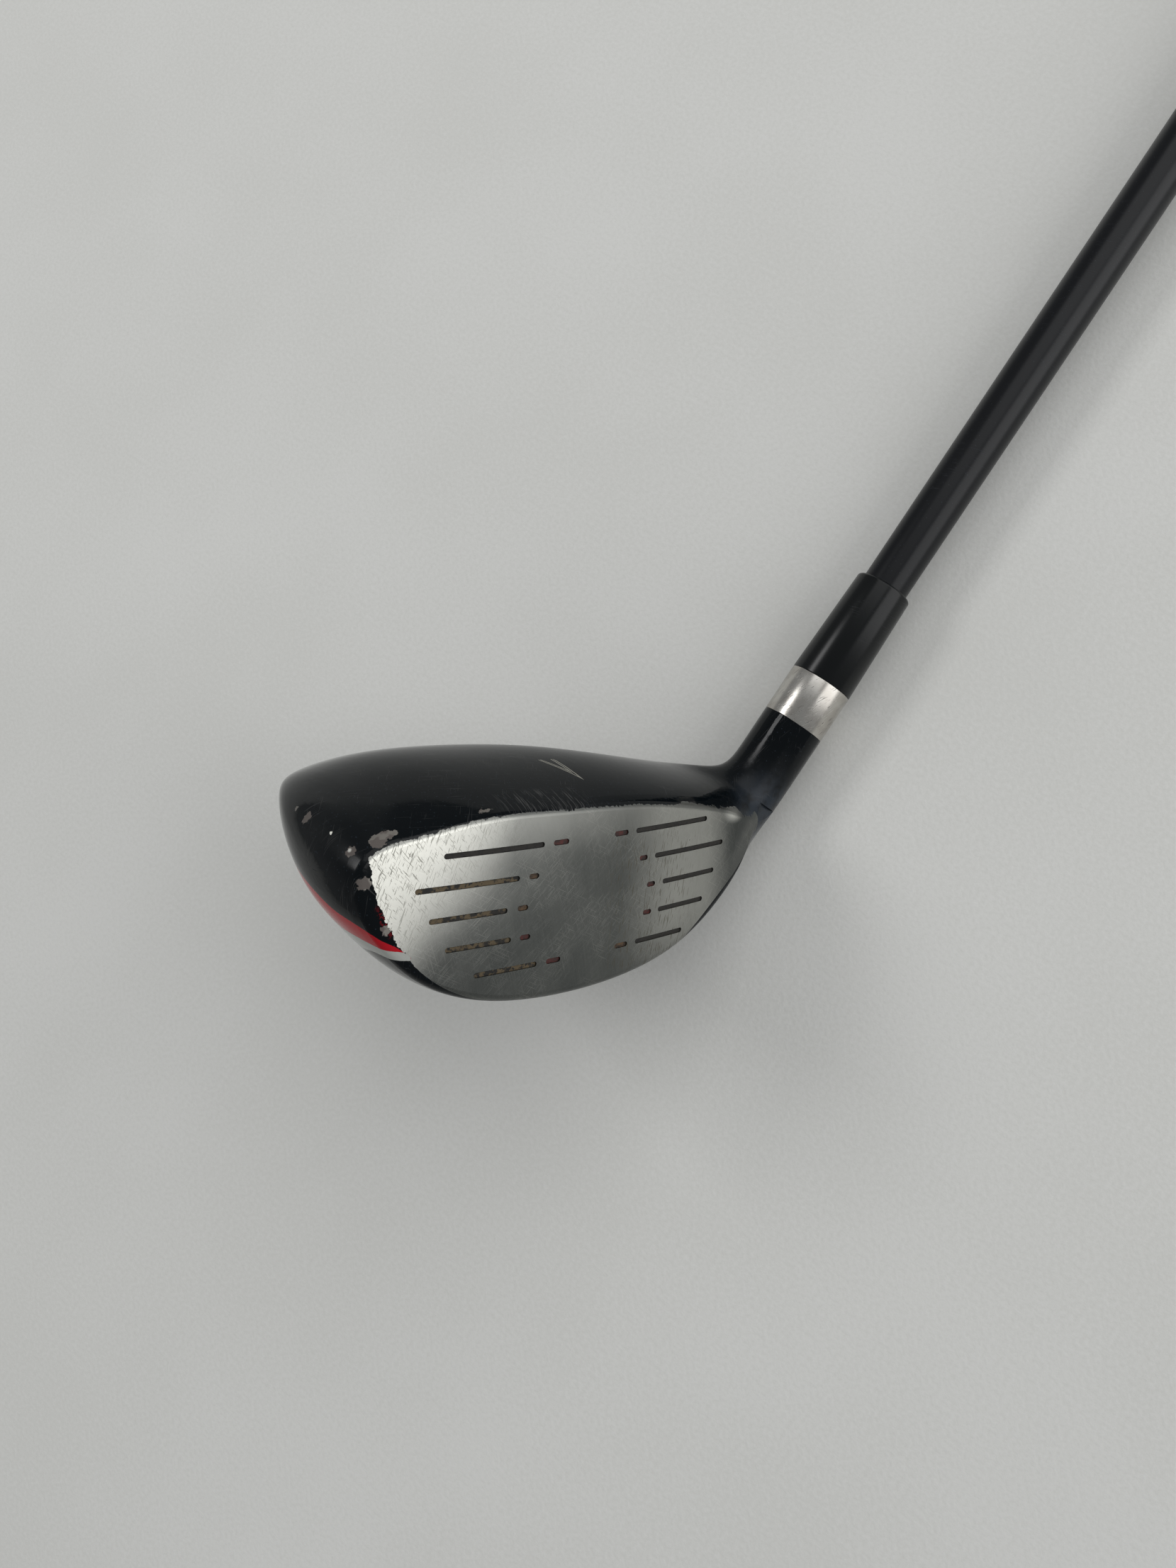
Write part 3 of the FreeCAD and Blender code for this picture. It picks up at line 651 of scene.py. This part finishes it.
SHARP_EDGE = math.radians(50.0)   # edges that bend more than this are shaded as sharp
RING_EDGE = 0.18
FERRULE_LOW_EDGE = 0.15
FERRULE_TOP_EDGE = 0.6
SHAFT_WALL = 1.0
SHAFT_START = RING_TOP + 0.5      # inside the ferrule; below this the shaft is out of sight
GRIP_GROOVE = 0.45        # depth of the moulded pattern
GRIP_LEAD = 13.0          # length of one diamond of the pattern
GRIP_STARTS = 10          # diamonds round the grip
GRIP_PLAIN = (14.0, 8.0)  # plain bands at the mouth and at the cap
GRIP_LINE = 0.20          # half the width of a groove, where the next groove is pi away
GRIP_RING_HALF = 0.7      # half the width of the ring at each end of the pattern
CAP_LOW_EDGE = 0.25
VENT_EDGE = 0.3
DISH = (7.0, 8.6)         # radii of the shallow ring in the cap's end
DISH_DEPTH = 0.35
DISH_SLOPE = 0.4


def lathe(name, profile, segments, relief=None):
    """Closed ring of quads about the shaft; the profile is a loop of (along, radius), and
    relief(along, turn, radius) lowers the surface in millimetres."""
    mesh = bmesh.new()
    rings = []
    for k in range(segments):
        turn = math.tau * k / segments
        ring = []
        for along, radius in profile:
            low = relief(along, turn, radius) if relief else 0.0
            out = radius - low
            spot = Vector((along, out * math.sin(turn), out * math.cos(turn)))
            ring.append(mesh.verts.new(ORIGIN + LEVEL @ spot * MM))
        rings.append(ring)
    count = len(profile)
    for k in range(segments):
        here, there = rings[k], rings[(k + 1) % segments]
        for i in range(count):
            j = (i + 1) % count
            mesh.faces.new((here[i], here[j], there[j], there[i]))
    bmesh.ops.recalc_face_normals(mesh, faces=mesh.faces)
    for face in mesh.faces:
        face.smooth = True
    for edge in mesh.edges:
        edge.smooth = edge.calc_face_angle(0.0) < SHARP_EDGE
    data = bpy.data.meshes.new(name)
    mesh.to_mesh(data)
    mesh.free()
    piece = bpy.data.objects.new(name, data)
    bpy.context.scene.collection.objects.link(piece)
    return piece


def evenly(start, end, count):
    return [start + (end - start) * i / count for i in range(count + 1)]


def rounding(along, radius, size, first, last, steps=6):
    """Points of a rounded edge about (along, radius), from one angle to another in degrees."""
    return [(along + size * math.cos(math.radians(a)), radius + size * math.sin(math.radians(a)))
            for a in evenly(first, last, steps)]


def shaft_radius(along):
    """Radius of the painted shaft: parallel tip, then an even taper to the butt."""
    taper_start = FERRULE_TOP + TIP_PARALLEL
    share = max(0.0, (along - taper_start) / (SHAFT_END - taper_start))
    return (TIP_PAINTED_OD + share * (BUTT_OD - TIP_PAINTED_OD)) / 2


def ring_piece():
    edge = RING_EDGE
    outer = HOSEL_OD / 2
    profile = [(HOSEL_SHOULDER, HOSEL_NECK_OD / 2)]
    profile += rounding(HOSEL_SHOULDER + edge, outer - edge, edge, 180, 90, 3)
    profile += rounding(RING_TOP - edge, outer - edge, edge, 90, 0, 3)
    profile.append((RING_TOP, HOSEL_NECK_OD / 2))
    return lathe("turned_ring", profile, 128)


def ferrule_piece():
    low_edge, top_edge = FERRULE_LOW_EDGE, FERRULE_TOP_EDGE
    inner = TIP_PAINTED_OD / 2
    profile = [(RING_TOP, inner)]
    profile += rounding(RING_TOP + low_edge, HOSEL_OD / 2 - low_edge, low_edge, 180, 90, 3)
    profile += rounding(FERRULE_TOP - top_edge, FERRULE_TOP_OD / 2 - top_edge, top_edge, 90, 0)
    profile.append((FERRULE_TOP, inner))
    return lathe("ferrule_collar", profile, 128)


def shaft_piece():
    stations = evenly(SHAFT_START, SHAFT_END, 60)
    profile = [(s, shaft_radius(s)) for s in stations]
    profile += [(s, shaft_radius(s) - SHAFT_WALL) for s in reversed(stations)]
    return lathe("shaft_tube", profile, 96)


def grip_relief(along, turn, radius):
    """Crossed spiral grooves between a plain band at each end, with rings at the bands' edges."""
    if radius < shaft_radius(along) + 2 * TAPE_THICKNESS:
        return 0.0
    first, last = GRIP_START + GRIP_PLAIN[0], SHAFT_END - GRIP_PLAIN[1]
    ring = max(math.exp(-((along - spot) / GRIP_RING_HALF) ** 2) for spot in (first, last))
    if not first < along < last:
        return GRIP_GROOVE * ring
    wind = math.tau * (along - first) / (GRIP_LEAD * 2)
    phase = GRIP_STARTS * turn / 2
    crossed = min(abs(math.sin(phase + wind)), abs(math.sin(phase - wind)))
    return GRIP_GROOVE * max(ring, math.exp(-(crossed / GRIP_LINE) ** 2))


def grip_piece():
    layer = TAPE_THICKNESS
    inner = shaft_radius(GRIP_START) + layer
    mouth = GRIP_MOUTH_OD / 2 - shaft_radius(GRIP_START) - 2 * layer
    slope = (GRIP_BUTT_OD - GRIP_MOUTH_OD) / 2 / GRIP_LENGTH
    profile = [(GRIP_START, inner)]
    profile += rounding(GRIP_START + mouth, GRIP_MOUTH_OD / 2 - mouth, mouth, 180, 90)
    profile += [(s, GRIP_MOUTH_OD / 2 + slope * (s - GRIP_START))
                for s in evenly(GRIP_START + 2 * mouth, SHAFT_END, 420)]
    profile.append((SHAFT_END, BUTT_OD / 2 + layer))
    return lathe("moulded_grip", profile, 160, grip_relief)


def cap_piece():
    hole, outer = VENT_DIAMETER / 2, GRIP_BUTT_OD / 2
    dish_floor = CLUB_LENGTH - DISH_DEPTH
    profile = [(SHAFT_END, hole), (SHAFT_END, outer - CAP_LOW_EDGE), (SHAFT_END + CAP_LOW_EDGE, outer)]
    profile += rounding(CLUB_LENGTH - CAP_EDGE, outer - CAP_EDGE, CAP_EDGE, 90, 0)
    profile += [(CLUB_LENGTH, DISH[1]), (dish_floor, DISH[1] - DISH_SLOPE)]
    profile += [(dish_floor, DISH[0] + DISH_SLOPE), (CLUB_LENGTH, DISH[0])]
    profile += rounding(CLUB_LENGTH - VENT_EDGE, hole + VENT_EDGE, VENT_EDGE, 0, -90, 3)
    return lathe("grip_end", profile, 128)


# ---------------------------------------------------------------- camera, light, floor

IMAGE_HEIGHT = 2212
SENSOR = 36.0             # height of the camera's sensor, in millimetres
FOCAL_PIXELS = 1661.0     # for that image height: a 26 mm lens on a full frame of the same diagonal
CAMERA_PLACE = (-156.1, -139.4, 111.7)        # this and the next two are in the address frame
CAMERA_RIGHT = (0.7776, -0.5928, 0.2096)
CAMERA_BACK = (-0.6226, -0.6797, 0.3876)
HEAD_SPOT = row_point(FACE_CENTRE)
FLOOR_HALF = 4.0          # half the side of the floor, in metres


def make_camera():
    data = bpy.data.cameras.new("camera")
    data.sensor_fit = "VERTICAL"
    data.sensor_height = SENSOR
    data.lens = FOCAL_PIXELS / IMAGE_HEIGHT * SENSOR
    data.clip_start = 0.01
    camera = bpy.data.objects.new("camera", data)
    bpy.context.scene.collection.objects.link(camera)
    place = row_point(CAMERA_PLACE)
    right = (TURN @ Vector(CAMERA_RIGHT)).normalized()
    back = (TURN @ Vector(CAMERA_BACK)).normalized()
    up = back.cross(right).normalized()
    right = up.cross(back)
    camera.matrix_world = Matrix((
        (right.x, up.x, back.x, place.x), (right.y, up.y, back.y, place.y),
        (right.z, up.z, back.z, place.z), (0, 0, 0, 1)))
    bpy.context.scene.camera = camera


def panel(name, azimuth, elevation, distance, slide, width, height, radiance):
    """Soft light that faces the head from a direction in degrees, slid along X; sizes are in metres and
    the radiance is relative to white."""
    a, e = math.radians(azimuth), math.radians(elevation)
    toward = Vector((math.cos(a) * math.cos(e), math.sin(a) * math.cos(e), math.sin(e)))
    data = bpy.data.lights.new(name, "AREA")
    data.shape = "RECTANGLE"
    data.size, data.size_y = width, height
    data.energy = radiance * math.pi * width * height
    light = bpy.data.objects.new(name, data)
    bpy.context.scene.collection.objects.link(light)
    light.location = HEAD_SPOT + toward * distance + Vector((slide, 0, 0))
    light.rotation_euler = toward.to_track_quat("Z", "Y").to_euler()


def make_light():
    panel("key", azimuth=90, elevation=46, distance=1.5, slide=-0.09, width=0.60, height=0.36, radiance=6.0)
    panel("wall", azimuth=-90, elevation=28, distance=1.8, slide=1.61, width=2.6, height=1.75, radiance=1.8)
    panel("fill", azimuth=0, elevation=48, distance=1.7, slide=0.0, width=1.5, height=1.5, radiance=1.1)
    world = bpy.data.worlds.new("studio")
    bpy.context.scene.world = world
    world.use_nodes = True
    background = world.node_tree.nodes["Background"]
    background.inputs["Color"].default_value = (0.97, 0.99, 1.0, 1)
    background.inputs["Strength"].default_value = 0.26


def make_floor():
    g = Graph("pale_floor")
    place = g.axes(Vector((0, 0, 0)), Matrix.Identity(3))
    cloud = g.noise(place, 60.0, 3.0)
    grain = g.noise(place, 0.9, 2.0)
    colour = g.mix((0.74, 0.74, 0.71), (0.79, 0.79, 0.765), g.rise(g.add(cloud, grain), 0.0, 0.35))
    material = g.finish(colour, 0.9, g.times(grain, 0.06))
    data = bpy.data.meshes.new("floor")
    signs = ((-1, -1), (1, -1), (1, 1), (-1, 1))
    corners = [(across * FLOOR_HALF, deep * FLOOR_HALF, 0) for across, deep in signs]
    data.from_pydata(corners, [], [(0, 1, 2, 3)])
    floor = bpy.data.objects.new("floor", data)
    bpy.context.scene.collection.objects.link(floor)
    data.materials.append(material)


# ---------------------------------------------------------------- the club

def dress(piece, material):
    piece.data.materials.clear()
    piece.data.materials.append(material)


def dress_nodes():
    paint = head_finish("head_paint")
    materials = {
        "face_plate": head_finish("face_steel"),
        "crown_shell": paint,
        "head_body": paint,
        "score_fill_dark": groove_fill(),
        "score_fill_red": grainy("fill_red", (0.085, 0.012, 0.009), (0.022, 0.010, 0.008), 0.9, 0.6),
        "score_fill_tan": grainy("fill_tan", (0.12, 0.07, 0.035), (0.03, 0.02, 0.014), 0.9, 0.7),
        "rear_weight": grainy("weight_steel", (0.30, 0.30, 0.30), (0.22, 0.21, 0.20), 2.0, 0.6, 1.0, 0.1),
        "rattle_glue_pad": grainy("rattle_glue", (0.75, 0.68, 0.45), (0.62, 0.52, 0.30), 4.0, 0.45),
        "shaft_epoxy": grainy("epoxy", (0.55, 0.50, 0.38), (0.47, 0.41, 0.29), 3.0, 0.35),
        "tip_weight": grainy("tip_brass", (0.72, 0.55, 0.30), (0.62, 0.45, 0.22), 3.0, 0.35, 1.0),
        "bore_plug": grainy("plug_foam", (0.70, 0.68, 0.60), (0.58, 0.56, 0.48), 0.8, 0.85, 0.0, 0.15),
        "grip_tape": woven_tape(),
    }
    for node, material in materials.items():
        dress(NODES[node], material)


def add_piece(piece, node, material):
    dress(piece, material)
    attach(piece, "root")
    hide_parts(node)


def main():
    dress_nodes()
    add_piece(ring_piece(), "hosel_ring", ring_steel())
    add_piece(ferrule_piece(), "ferrule",
              gloss_black("ferrule_plastic", (0.0025, 0.0035, 0.004), 0.24, 0.0))
    add_piece(shaft_piece(), "shaft",
              gloss_black("shaft_paint", (0.002, 0.0028, 0.0045), 0.30, 0.25))
    add_piece(grip_piece(), "grip", rubber("grip_rubber"))
    add_piece(cap_piece(), "grip_cap", rubber("cap_rubber"))
    make_floor()
    make_light()
    make_camera()
    bpy.context.scene.view_settings.view_transform = "Standard"


main()
